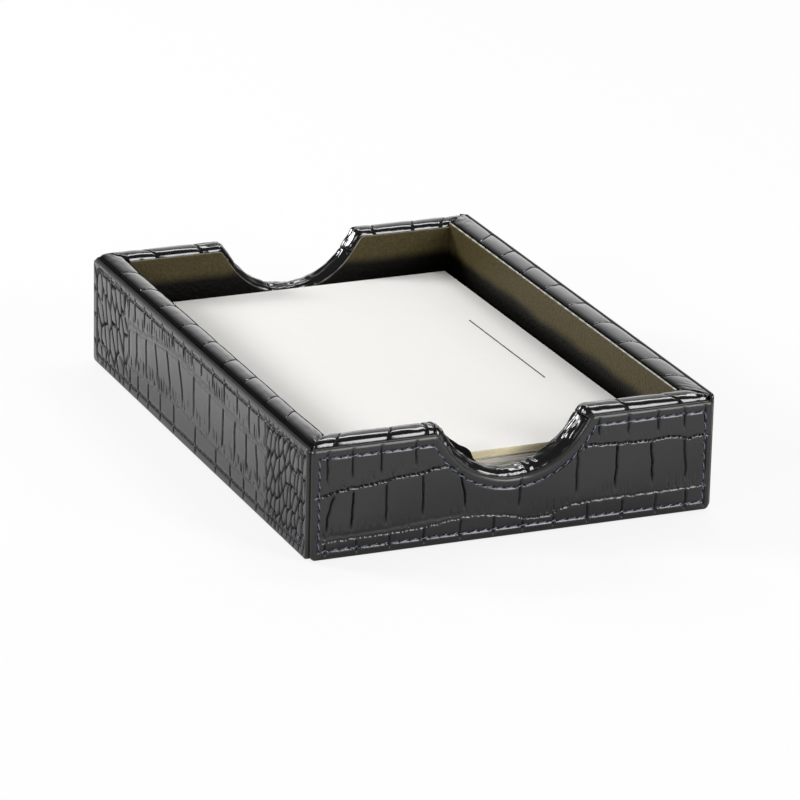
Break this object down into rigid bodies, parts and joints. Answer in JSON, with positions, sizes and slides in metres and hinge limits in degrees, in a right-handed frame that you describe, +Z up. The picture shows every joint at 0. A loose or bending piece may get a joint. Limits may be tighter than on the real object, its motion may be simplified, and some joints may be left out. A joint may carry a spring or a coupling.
{
  "type": "memo tray",
  "caption": "Open desk tray for loose note sheets, with crocodile-embossed black leather walls, rolled leather rim, finger notches and lining.",
  "frame": {"origin": "middle of the underside, on the surface that the tray rests on", "axes": "+X along the short notched walls, +Y from the near notched wall to the far one, +Z up out of the open top"},
  "size_m": [0.126, 0.182, 0.0357],
  "materials": {
    "embossed_leather": "satin",
    "rim_leather": "gloss",
    "lining_leather": "satin",
    "panel_backing": "matte",
    "core_board": "matte",
    "base_cloth": "matte",
    "note_paper": "matte"
  },
  "bodies": {
    "tray": {"front_core": "core_board", "front_rim": "rim_leather", "front_panel_leather": "embossed_leather", "front_panel_backing": "panel_backing", "front_lining": "lining_leather", "back_core": "core_board", "back_rim": "rim_leather", "back_panel_leather": "embossed_leather", "back_panel_backing": "panel_backing", "back_lining": "lining_leather", "left_core": "core_board", "left_rim": "rim_leather", "left_panel_leather": "embossed_leather", "left_panel_backing": "panel_backing", "left_lining": "lining_leather", "right_core": "core_board", "right_rim": "rim_leather", "right_panel_leather": "embossed_leather", "right_panel_backing": "panel_backing", "right_lining": "lining_leather", "base_cover": "base_cloth", "base_board": "core_board", "floor_lining": "lining_leather"},
    "lower_sheets": {"lower_notes": "note_paper"},
    "upper_sheets": {"upper_notes": "note_paper"}
  },
  "joints": [
    {"name": "lower_notes_lift", "type": "slide", "parent": "tray", "child": "lower_sheets", "axis": [0, 0, 1], "range_m": [0, 0.045]},
    {"name": "upper_notes_lift", "type": "slide", "parent": "lower_sheets", "child": "upper_sheets", "axis": [0, 0, 1], "range_m": [0, 0.03]}
  ]
}
